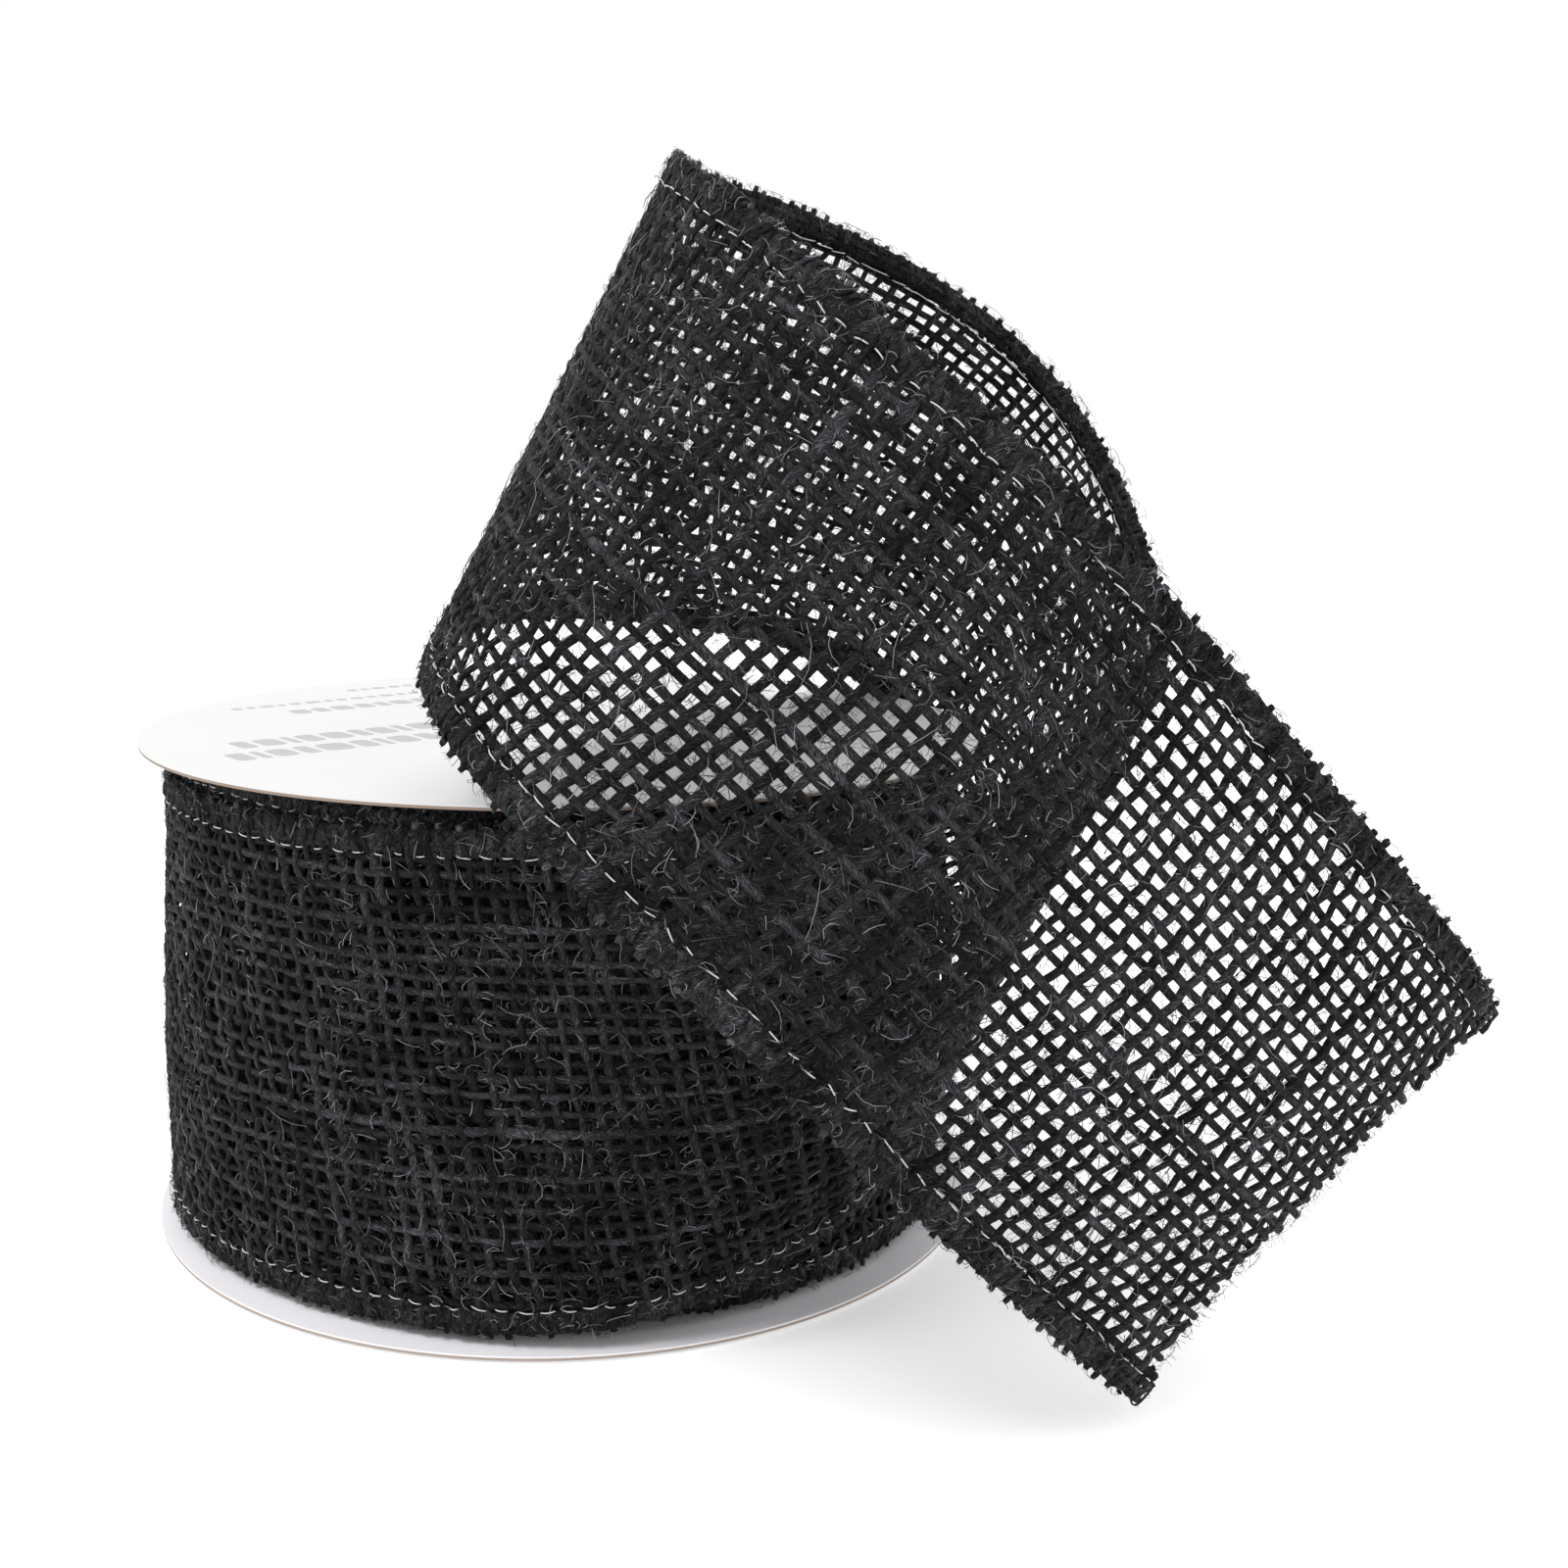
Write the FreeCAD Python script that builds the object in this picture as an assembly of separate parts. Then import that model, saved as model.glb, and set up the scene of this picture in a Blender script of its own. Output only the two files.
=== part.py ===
import FreeCAD, Part
import math
import os

# Ribbon spool standing on its lower flange. Units are millimetres. The origin is the centre of
# the lower flange's underside, +Z runs up the spool's axis and -Y is the front.

# Card spool
FLANGE_DIAMETER = 120.0
FLANGE_THICKNESS = 0.6
SPOOL_HEIGHT = 69.4
CORE_OUTER_DIAMETER = 38.0
CORE_WALL = 2.0

# Ribbon
RIBBON_WIDTH = 63.5
RIBBON_BOTTOM = 1.8
TURN_PITCH = 1.23
TAKE_OFF_RADIUS = 55.75
TAKE_OFF_AZIMUTH = math.radians(-125.0)
OUTER_TURN_SWEEP = math.radians(345.0)
ROLL_CLEARANCE = 0.3
COIL_FIRST_TURN = 2.25
COIL_TURNS = 27

# Section of the ribbon: plain weave between two folded hems, each fold with a wire in it. The
# section is measured from the mid-surface of the weave, positive towards the inside of the roll.
WEAVE_HALF_THICKNESS = 0.45
HEM_WIDTH = 3.3
HEM_INNER_FACE = 0.75
WIRE_INSET = 1.0
WIRE_DIAMETER = 0.4
WIRE_TUNNEL = 0.6
THREAD_DIAMETER = 0.3

# Loose tail: it leaves the roll along its tangent, then follows these stations, placed by hand
# every 35 to 40 mm. Each row is the middle of the ribbon (x, y, z), then its cross line's lean
# from upright and the azimuth that the upper edge leans to, in degrees.
TANGENT_LENGTH = 15.0
TAIL_STATIONS = [
    (25, -71, 35, 30, -20),
    (57, -48, 45, 20, -35),
    (75, -15, 60, 45, -70),
    (68, 27, 95, 32, -50),
    (40, 20, 110, 22, -80),
    (10, -5, 116, 20, -40),
    (-4, -40, 117, 32, 22),
    (0, -75, 110, 27, 32),
    (30, -95, 84, 35, 10),
    (61, -91, 51, 45, 10),
    (81, -82, 31, 43, 5),
    (87, -76, 24, 44, 10),
]
EDGE_DEGREE = 3
CURL_PLACE = 0.640
CURL_HALF_GAP = 0.0015
RISING_STATIONS = 40
FALLING_STATIONS = 24
TURN_STATIONS = 49
COIL_STATIONS_PER_TURN = 16
START_TO_START = 1


def vector(x, y, z):
    return FreeCAD.Vector(x, y, z)


def save(name, shape):
    shape.exportStep("parts/" + name + ".step")


def disc(diameter, thickness, bottom):
    return Part.makeCylinder(diameter / 2, thickness, vector(0, 0, bottom))


def ring_profile(inner_radius, outer_radius, bottom, top):
    corners = [
        vector(inner_radius, 0, bottom),
        vector(outer_radius, 0, bottom),
        vector(outer_radius, 0, top),
        vector(inner_radius, 0, top),
    ]
    return Part.makePolygon(corners + corners[:1])


def ring(inner_radius, outer_radius, bottom, top, voids=()):
    profile = Part.Face([ring_profile(inner_radius, outer_radius, bottom, top)])
    for void in voids:
        profile = profile.cut(Part.Face(ring_profile(*void)))
    return profile.revolve(vector(0, 0, 0), vector(0, 0, 1), 360)


def leaning(lean, azimuth):
    """Direction at an angle from upright, towards an azimuth."""
    lean, azimuth = math.radians(lean), math.radians(azimuth)
    return vector(
        math.sin(lean) * math.cos(azimuth), math.sin(lean) * math.sin(azimuth), math.cos(lean)
    )


def tail_rows():
    """Middle and cross-line direction of each control row, from the take-off point to the cut end."""
    take_off = vector(
        TAKE_OFF_RADIUS * math.cos(TAKE_OFF_AZIMUTH),
        TAKE_OFF_RADIUS * math.sin(TAKE_OFF_AZIMUTH),
        RIBBON_BOTTOM + RIBBON_WIDTH / 2,
    )
    along = vector(-math.sin(TAKE_OFF_AZIMUTH), math.cos(TAKE_OFF_AZIMUTH), 0)
    rows = [(take_off, vector(0, 0, 1)), (take_off + along * TANGENT_LENGTH, vector(0, 0, 1))]
    for x, y, z, lean, azimuth in TAIL_STATIONS:
        rows.append((vector(x, y, z), leaning(lean, azimuth)))
    return rows


def tail_edge(side):
    """One long edge, the lower for side -1 and the upper for 1. A cross line that slants against
    the ribbon's run is longer, so that the ribbon keeps its width."""
    rows = tail_rows()
    poles = []
    for index, (middle, across) in enumerate(rows):
        run = rows[min(index + 1, len(rows) - 1)][0] - rows[max(index - 1, 0)][0]
        slant = across.dot(run.normalize())
        poles.append(middle + across * (side * RIBBON_WIDTH / 2 / math.sqrt(1 - slant ** 2)))
    curve = Part.BSplineCurve()
    curve.buildFromPoles(poles, False, EDGE_DEGREE)
    return curve


LOWER_EDGE = tail_edge(-1)
UPPER_EDGE = tail_edge(1)


def tail_frame(place):
    """Lower edge point, full ruling across the ribbon and inward normal at a place from 0 to 1."""
    low = LOWER_EDGE.value(place)
    ruling = UPPER_EDGE.value(place) - low
    low_tangent = vector(*LOWER_EDGE.tangent(place)[0])
    high_tangent = vector(*UPPER_EDGE.tangent(place)[0])
    normal = ruling.cross(low_tangent + high_tangent)
    return low, ruling, normal.normalize()


def turn_frame(sweep_back):
    """The same frame on the wound turns, at an angle back from the take-off point."""
    azimuth = TAKE_OFF_AZIMUTH - sweep_back
    radius = TAKE_OFF_RADIUS - TURN_PITCH * sweep_back / (2 * math.pi)
    outward = vector(math.cos(azimuth), math.sin(azimuth), 0)
    low = outward * radius + vector(0, 0, RIBBON_BOTTOM)
    return low, vector(0, 0, RIBBON_WIDTH), outward * -1


def spaced(first, last, count):
    return [first + (last - first) * index / (count - 1) for index in range(count)]


def place_point(frame, across, depth):
    low, ruling, normal = frame
    return low + ruling * (across / RIBBON_WIDTH) + normal * depth


def loop_faces(frames, loop):
    """Ruled side faces swept by one closed section loop, each pair of rails joined start to start."""
    parameters = spaced(0.0, 1.0, len(frames))
    edges = []
    for across, depth in loop:
        rail = Part.BSplineCurve()
        rail.interpolate(
            Points=[place_point(frame, across, depth) for frame in frames],
            Parameters=parameters,
        )
        edges.append(rail.toShape())
    faces = []
    for index, edge in enumerate(edges):
        faces.append(Part.makeRuledSurface(edge, edges[(index + 1) % len(edges)], START_TO_START))
    return faces


def end_face(frame, loops):
    wires = []
    for loop in loops:
        points = [place_point(frame, across, depth) for across, depth in loop]
        wires.append(Part.makePolygon(points + points[:1]))
    face = Part.Face(wires[0])
    for wire in wires[1:]:
        face = face.cut(Part.Face(wire))
    return face.Faces[0]


def sweep(frames, loops):
    """Solid swept by a section: the first loop is its outline, the others are tunnels."""
    faces = []
    for loop in loops:
        faces += loop_faces(frames, loop)
    faces.append(end_face(frames[0], loops))
    faces.append(end_face(frames[-1], loops))
    skin = Part.makeShell(faces)
    skin.sewShape()
    solid = Part.Solid(Part.Shell(skin.Faces))
    if solid.Volume < 0:
        solid.reverse()
    return solid


def rectangle(across_low, across_high, depth_low, depth_high):
    return [
        (across_low, depth_low),
        (across_high, depth_low),
        (across_high, depth_high),
        (across_low, depth_high),
    ]


HEM_MIDDLE = (HEM_INNER_FACE - WEAVE_HALF_THICKNESS) / 2


def wire_places():
    return [WIRE_INSET, RIBBON_WIDTH - WIRE_INSET]


def cloth_section():
    top = RIBBON_WIDTH
    outline = [
        (0.0, -WEAVE_HALF_THICKNESS),
        (top, -WEAVE_HALF_THICKNESS),
        (top, HEM_INNER_FACE),
        (top - HEM_WIDTH, HEM_INNER_FACE),
        (top - HEM_WIDTH, WEAVE_HALF_THICKNESS),
        (HEM_WIDTH, WEAVE_HALF_THICKNESS),
        (HEM_WIDTH, HEM_INNER_FACE),
        (0.0, HEM_INNER_FACE),
    ]
    half = WIRE_TUNNEL / 2
    tunnels = []
    for across in wire_places():
        tunnels.append(rectangle(across - half, across + half, HEM_MIDDLE - half, HEM_MIDDLE + half))
    return [outline] + tunnels


def round_section(across, depth, diameter):
    sides = 8
    reach = diameter / 2 / math.cos(math.pi / sides)
    loop = []
    for index in range(sides):
        angle = (index + 0.5) * 2 * math.pi / sides
        loop.append((across + reach * math.cos(angle), depth + reach * math.sin(angle)))
    return [loop]


def save_hem_lines(suffix, course):
    """Hem wires and the stitching that closes each hem, along one course of frames."""
    reach = THREAD_DIAMETER / 2
    seam_depth = WEAVE_HALF_THICKNESS + reach
    seams = [HEM_WIDTH + reach, RIBBON_WIDTH - HEM_WIDTH - reach]
    for side, wire, seam in zip(("lower", "upper"), wire_places(), seams):
        wire_section = round_section(wire, HEM_MIDDLE, WIRE_DIAMETER)
        seam_section = round_section(seam, seam_depth, THREAD_DIAMETER)
        save(side + "_hem_wire_" + suffix, sweep(course, wire_section))
        save(side + "_hem_stitching_" + suffix, sweep(course, seam_section))


def build_spool():
    clear_height = SPOOL_HEIGHT - 2 * FLANGE_THICKNESS
    core_radius = CORE_OUTER_DIAMETER / 2
    save("lower_flange", disc(FLANGE_DIAMETER, FLANGE_THICKNESS, 0.0))
    save("upper_flange", disc(FLANGE_DIAMETER, FLANGE_THICKNESS, SPOOL_HEIGHT - FLANGE_THICKNESS))
    save(
        "core_tube",
        ring(core_radius - CORE_WALL, core_radius, FLANGE_THICKNESS, FLANGE_THICKNESS + clear_height),
    )


def build_roll():
    core_radius = CORE_OUTER_DIAMETER / 2
    tucked_face = TAKE_OFF_RADIUS - TURN_PITCH - HEM_INNER_FACE
    roll_radius = tucked_face - ROLL_CLEARANCE
    half = WIRE_TUNNEL / 2
    slots = []
    for across in wire_places():
        height = RIBBON_BOTTOM + across
        slots.append(
            (core_radius + ROLL_CLEARANCE, roll_radius - ROLL_CLEARANCE, height - half, height + half)
        )
    save("wound_ribbon", ring(core_radius, roll_radius, RIBBON_BOTTOM, RIBBON_BOTTOM + RIBBON_WIDTH, slots))
    first = COIL_FIRST_TURN * 2 * math.pi
    last = first + COIL_TURNS * 2 * math.pi
    coiled = [turn_frame(angle) for angle in spaced(first, last, COIL_TURNS * COIL_STATIONS_PER_TURN + 1)]
    for side, wire in zip(("lower", "upper"), wire_places()):
        save(side + "_hem_wire_coiled", sweep(coiled, round_section(wire, HEM_MIDDLE, WIRE_DIAMETER)))


def build_tail():
    turn = [turn_frame(angle) for angle in spaced(OUTER_TURN_SWEEP, 0.0, TURN_STATIONS)]
    rising = [
        tail_frame(place) for place in spaced(0.0, CURL_PLACE - CURL_HALF_GAP, RISING_STATIONS)
    ]
    falling = [
        tail_frame(place) for place in spaced(CURL_PLACE + CURL_HALF_GAP, 1.0, FALLING_STATIONS)
    ]
    save("outer_turn", sweep(turn, cloth_section()))
    save("rising_ribbon", sweep(rising, cloth_section()))
    save("falling_ribbon", sweep(falling, cloth_section()))
    save_hem_lines("rising", rising)
    save_hem_lines("falling", falling)
    save_hem_lines("outer_turn", turn)


os.makedirs("parts", exist_ok=True)
build_spool()
build_roll()
build_tail()
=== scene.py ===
import math

import bpy
import numpy as np
from mathutils import Matrix, Vector


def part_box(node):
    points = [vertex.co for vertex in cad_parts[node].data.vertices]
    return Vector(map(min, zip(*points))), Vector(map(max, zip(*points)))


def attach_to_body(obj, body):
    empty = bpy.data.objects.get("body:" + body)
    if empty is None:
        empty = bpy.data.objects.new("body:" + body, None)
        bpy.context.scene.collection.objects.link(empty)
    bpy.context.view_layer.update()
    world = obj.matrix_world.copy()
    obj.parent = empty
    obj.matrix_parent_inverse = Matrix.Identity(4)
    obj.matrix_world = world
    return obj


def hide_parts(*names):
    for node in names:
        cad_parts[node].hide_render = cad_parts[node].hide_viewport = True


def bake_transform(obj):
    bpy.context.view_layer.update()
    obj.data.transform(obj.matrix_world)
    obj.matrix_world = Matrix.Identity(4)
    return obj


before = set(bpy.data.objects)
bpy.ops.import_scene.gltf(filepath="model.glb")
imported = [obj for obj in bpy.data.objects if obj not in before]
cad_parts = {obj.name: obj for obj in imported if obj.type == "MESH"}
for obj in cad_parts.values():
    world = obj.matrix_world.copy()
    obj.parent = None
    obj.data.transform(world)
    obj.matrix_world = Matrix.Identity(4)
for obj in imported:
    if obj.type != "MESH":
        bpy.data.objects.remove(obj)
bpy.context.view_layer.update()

# All lengths of the ribbon are worked in millimetres and turned into metres when a mesh is made.
MM = 0.001
rng = np.random.default_rng(20)

# ---------------------------------------------------------------- the spool and the ribbon's course
FLANGE_RADIUS = 60.0
CORE_RADIUS = 19.0
RIBBON_WIDTH = 63.5
RIBBON_BOTTOM = 1.8
TURN_PITCH = 1.23
TAKE_OFF_RADIUS = 55.75
TAKE_OFF_AZIMUTH = math.radians(-125.0)
OUTER_TURN_SWEEP = math.radians(345.0)
ROLL_LOWEST, ROLL_HIGHEST = 0.75, 68.65
LOOSENESS = 2.5
LOOSE_LENGTH = 107.0
TURN_LIFT = 3.2
LIFT_START, LIFT_LENGTH = 290.0, 90.0
# Stations of the loose tail: the middle of the ribbon (x, y, z), then its cross line's lean from
# upright and the azimuth that the upper edge leans to, in degrees.
TANGENT_LENGTH = 15.0
TAIL_STATIONS = [
    (25, -71, 35, 30, -20),
    (57, -48, 45, 20, -35),
    (75, -15, 60, 45, -70),
    (68, 27, 95, 32, -50),
    (40, 20, 110, 22, -80),
    (10, -5, 116, 20, -40),
    (-4, -40, 117, 32, 22),
    (0, -75, 110, 27, 32),
    (30, -95, 84, 35, 10),
    (61, -91, 51, 45, 10),
    (81, -82, 31, 43, 5),
    (87, -76, 24, 44, 10),
]
TAIL_SAMPLES = 2401
CURL_START = 0.575
CURL_END = 0.705


def clamped_spline(poles, places):
    """Points on a clamped uniform cubic B-spline at places from 0 to 1."""
    poles = np.asarray(poles, float)
    count = len(poles)
    knots = np.concatenate([np.zeros(3), np.linspace(0, 1, count - 2), np.ones(3)])
    places = np.clip(places, 0, 1 - 1e-12)
    basis = [((places >= knots[i]) & (places < knots[i + 1])).astype(float) for i in range(count + 3)]
    for degree in (1, 2, 3):
        raised = []
        for i in range(count + 3 - degree):
            value = np.zeros_like(places)
            left = knots[i + degree] - knots[i]
            right = knots[i + degree + 1] - knots[i + 1]
            if left > 0:
                value = value + (places - knots[i]) / left * basis[i]
            if right > 0:
                value = value + (knots[i + degree + 1] - places) / right * basis[i + 1]
            raised.append(value)
        basis = raised
    return np.stack(basis, -1) @ poles


def unit(vectors):
    return vectors / np.linalg.norm(vectors, axis=-1, keepdims=True)


def edge_lengths(points):
    steps = np.linalg.norm(np.diff(points, axis=0), axis=1)
    return np.concatenate([[0.0], np.cumsum(steps)])


def leaning(lean, azimuth):
    """Direction at an angle from upright, towards an azimuth."""
    lean, azimuth = math.radians(lean), math.radians(azimuth)
    outward = math.sin(lean)
    return np.array([outward * math.cos(azimuth), outward * math.sin(azimuth), math.cos(lean)])


def tail_rows():
    """Middle and cross-line direction of each control row, from the take-off point to the cut end."""
    cosine, sine = math.cos(TAKE_OFF_AZIMUTH), math.sin(TAKE_OFF_AZIMUTH)
    height = RIBBON_BOTTOM + RIBBON_WIDTH / 2
    take_off = np.array([TAKE_OFF_RADIUS * cosine, TAKE_OFF_RADIUS * sine, height])
    along = np.array([-sine, cosine, 0.0])
    middles = [take_off, take_off + along * TANGENT_LENGTH]
    middles += [np.array(station[:3], float) for station in TAIL_STATIONS]
    crosses = [leaning(0, 0)] * 2 + [leaning(*station[3:]) for station in TAIL_STATIONS]
    return np.array(middles), np.array(crosses)


def tail_edges(places):
    """The tail's lower and upper edges. A cross line that slants against the ribbon's run is longer,
    so that the ribbon keeps its width."""
    middles, crosses = tail_rows()
    rows = np.arange(len(middles))
    runs = unit(middles[np.minimum(rows + 1, rows[-1])] - middles[np.maximum(rows - 1, 0)])
    slants = np.sum(runs * crosses, axis=1)
    halves = crosses * (RIBBON_WIDTH / 2 / np.sqrt(1 - slants ** 2))[:, None]
    return clamped_spline(middles - halves, places), clamped_spline(middles + halves, places)


PLACES = np.linspace(0, 1, TAIL_SAMPLES)
LOWER, UPPER = tail_edges(PLACES)
LOWER_LENGTHS = edge_lengths(LOWER)
UPPER_LENGTHS = edge_lengths(UPPER)
LOWER_RATE = np.gradient(LOWER_LENGTHS, PLACES)
UPPER_RATE = np.gradient(UPPER_LENGTHS, PLACES)
TANGENTS = unit(np.gradient(0.5 * (LOWER + UPPER), axis=0))
INWARD = unit(np.cross(UPPER - LOWER, TANGENTS))
TAIL_LENGTH = 0.5 * (LOWER_LENGTHS[-1] + UPPER_LENGTHS[-1])


def tail_place(along, across):
    """Place from 0 to 1 of the straight line across the tail that passes through a cloth point."""
    share = across / RIBBON_WIDTH
    place = np.interp(along, 0.5 * (LOWER_LENGTHS + UPPER_LENGTHS), PLACES)
    for _ in range(6):
        reached = np.interp(place, PLACES, LOWER_LENGTHS) * (1 - share)
        reached += np.interp(place, PLACES, UPPER_LENGTHS) * share
        rate = np.interp(place, PLACES, LOWER_RATE) * (1 - share)
        rate += np.interp(place, PLACES, UPPER_RATE) * share
        place = np.clip(place + (along - reached) / rate, 0, 1)
    return place


def turn_lift(back):
    """Height by which the wound turns stand above the outermost one, a distance back along them."""
    ease = np.clip((back - LIFT_START) / LIFT_LENGTH, 0, 1)
    return TURN_LIFT * ease ** 2 * (3 - 2 * ease) + 0.2 * np.sin(back / 131.0 + 0.6) * ease


def loose_bulge(back, share):
    """The outermost turn isn't pulled tight: it stands off the roll just before the take-off, most
    of all in its lower half."""
    height = np.interp(share, (0.0, 0.35, 0.60, 0.85, 1.0), (0.85, 1.0, 0.75, 0.35, 0.25))
    return LOOSENESS * height * np.sin(math.pi * np.clip(back / LOOSE_LENGTH, 0, 1)) ** 2


def cloth(along, across, depth):
    """Cloth coordinates to space: along from the take-off, across from the lower edge, depth inwards.
    Returns points, outward normals and tail places (negative on the roll)."""
    along, across, depth = np.broadcast_arrays(
        np.asarray(along, float), np.asarray(across, float), np.asarray(depth, float)
    )
    place = tail_place(along, across)
    share = (across / RIBBON_WIDTH)[..., None]

    def table(values):
        return np.stack([np.interp(place, PLACES, values[:, k]) for k in range(3)], -1)

    inward = unit(table(INWARD))
    points = table(LOWER) * (1 - share) + table(UPPER) * share
    end = LOWER_LENGTHS[-1] * (1 - share[..., 0]) + UPPER_LENGTHS[-1] * share[..., 0]
    beyond = np.clip(along - end, 0, None)[..., None]
    points = points + beyond * TANGENTS[-1] + depth[..., None] * inward
    back = np.clip(-along, 0, None)
    sweep = back / TAKE_OFF_RADIUS
    azimuth = TAKE_OFF_AZIMUTH - sweep
    radius = TAKE_OFF_RADIUS - TURN_PITCH * sweep / (2 * math.pi)
    radius = radius + loose_bulge(back, share[..., 0]) - depth
    outward = np.stack([np.cos(azimuth), np.sin(azimuth), np.zeros_like(azimuth)], -1)
    rolled = outward * radius[..., None]
    rolled[..., 2] = np.clip(RIBBON_BOTTOM + across + turn_lift(back), ROLL_LOWEST, ROLL_HIGHEST)
    on_roll = (along < 0)[..., None]
    points = np.where(on_roll, rolled, points)
    normals = np.where(on_roll, outward, -inward)
    return points, normals, np.where(along < 0, along / 1000.0, place)


# ---------------------------------------------------------------- mesh helpers
class Tubes:
    """Collects closed tubes, with each vertex's place round and along its tube, into one mesh."""

    def __init__(self):
        self.vertices, self.quads, self.triangles = [], [], []
        self.ring, self.length = [], []
        self.count = 0

    def add(self, points, normals, half_wide, half_high, sides=6, seed=0.0, start=0.0):
        points = np.asarray(points, float)
        steps = len(points)
        if steps < 2:
            return
        tangents = unit(np.gradient(points, axis=0) + 1e-9)
        side = unit(np.cross(tangents, normals))
        up = np.cross(side, tangents)
        angles = np.arange(sides) * 2 * math.pi / sides
        wide = np.broadcast_to(half_wide, steps)[:, None, None]
        high = np.broadcast_to(half_high, steps)[:, None, None]
        offsets = (
            np.cos(angles)[None, :, None] * side[:, None] * wide
            + np.sin(angles)[None, :, None] * up[:, None] * high
        )
        rings = points[:, None] + offsets
        base = self.count
        self.vertices.append(rings.reshape(-1, 3))
        index = base + np.arange(steps * sides).reshape(steps, sides)
        after = np.roll(index, -1, axis=1)
        self.quads.append(
            np.stack([index[:-1], index[1:], after[1:], after[:-1]], -1).reshape(-1, 4)
        )
        lengths = start + edge_lengths(points)
        self.ring.append(
            np.stack(
                [
                    np.tile(np.cos(angles), steps),
                    np.tile(np.sin(angles), steps),
                    np.full(steps * sides, seed),
                ],
                -1,
            )
        )
        self.length.append(np.repeat(lengths, sides))
        caps = np.stack([points[0], points[-1]])
        self.vertices.append(caps)
        self.ring.append(np.array([[0, 0, seed]] * 2, float))
        self.length.append(np.array([lengths[0], lengths[-1]]))
        first, last = base + steps * sides, base + steps * sides + 1
        self.triangles.append(
            np.stack([index[0], after[0], np.full(sides, first)], -1)
        )
        self.triangles.append(
            np.stack([after[-1], index[-1], np.full(sides, last)], -1)
        )
        self.count += steps * sides + 2

    def add_fibres(self, points, normals, thick, seeds):
        """Many three-sided fibres at once: points are fibres by places by 3, in order along each."""
        fibres, steps, _ = points.shape
        tangents = unit(np.gradient(points, axis=1) + 1e-9)
        side = unit(np.cross(tangents, normals) + 1e-9)
        up = np.cross(side, tangents)
        angles = np.arange(3) * 2 * math.pi / 3
        offsets = (
            np.cos(angles)[:, None] * side[:, :, None] + np.sin(angles)[:, None] * up[:, :, None]
        ) * thick[:, :, None, None]
        rings = points[:, :, None] + offsets
        index = self.count + np.arange(fibres * steps * 3).reshape(fibres, steps, 3)
        after = np.roll(index, -1, axis=2)
        quads = np.stack([index[:, :-1], index[:, 1:], after[:, 1:], after[:, :-1]], -1)
        self.vertices.append(rings.reshape(-1, 3))
        self.quads.append(quads.reshape(-1, 4))
        self.triangles.append(np.concatenate([index[:, 0, ::-1], index[:, -1]]))
        seeds = np.broadcast_to(seeds[:, None, None], (fibres, steps, 3))
        ring = np.broadcast_to(np.stack([np.cos(angles), np.sin(angles)], -1), (fibres, steps, 3, 2))
        self.ring.append(np.concatenate([ring, seeds[..., None]], -1).reshape(-1, 3))
        spans = np.linalg.norm(np.diff(points, axis=1), axis=2)
        lengths = np.concatenate([np.zeros((fibres, 1)), np.cumsum(spans, axis=1)], axis=1)
        self.length.append(np.repeat(lengths.reshape(-1), 3))
        self.count += fibres * steps * 3

    def build(self, name, material):
        vertices = np.concatenate(self.vertices) * MM
        quads = np.concatenate(self.quads)
        triangles = np.concatenate(self.triangles)
        mesh = mesh_from_arrays(name, vertices, quads, triangles)
        ring = mesh.attributes.new("yarn_ring", "FLOAT_VECTOR", "POINT")
        ring.data.foreach_set("vector", np.concatenate(self.ring).astype(np.float32).ravel())
        length = mesh.attributes.new("yarn_length", "FLOAT", "POINT")
        length.data.foreach_set("value", np.concatenate(self.length).astype(np.float32))
        mesh.materials.append(material)
        obj = bpy.data.objects.new(name, mesh)
        bpy.context.scene.collection.objects.link(obj)
        return obj


def mesh_from_arrays(name, vertices, quads, triangles):
    mesh = bpy.data.meshes.new(name)
    loops = np.concatenate([quads.ravel(), triangles.ravel()]).astype(np.int32)
    totals = np.concatenate([np.full(len(quads), 4), np.full(len(triangles), 3)]).astype(np.int32)
    starts = np.concatenate([[0], np.cumsum(totals)[:-1]]).astype(np.int32)
    mesh.vertices.add(len(vertices))
    mesh.vertices.foreach_set("co", np.asarray(vertices, np.float32).ravel())
    mesh.loops.add(len(loops))
    mesh.loops.foreach_set("vertex_index", loops)
    mesh.polygons.add(len(totals))
    mesh.polygons.foreach_set("loop_start", starts)
    mesh.polygons.foreach_set("loop_total", totals)
    mesh.polygons.foreach_set("use_smooth", np.ones(len(totals), bool))
    mesh.update(calc_edges=True)
    mesh.validate()
    return mesh


# ---------------------------------------------------------------- materials
def new_material(name):
    material = bpy.data.materials.new(name)
    material.use_nodes = True
    return material, material.node_tree.nodes, material.node_tree.links


OLIVE, BLUE = (1.0, 0.99, 0.93), (0.95, 0.97, 1.05)
DARK_STOP, MIDDLE_STOP, LIGHT_AND_GLINT_STOP = 0.44, 0.56, 0.68
PATCH_SHARE = 0.16
YARN_TWIST = 0.9
STREAK_ACROSS, STREAK_ALONG = 2.6, 0.45
SEED_SPREAD = 97.0


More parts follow.
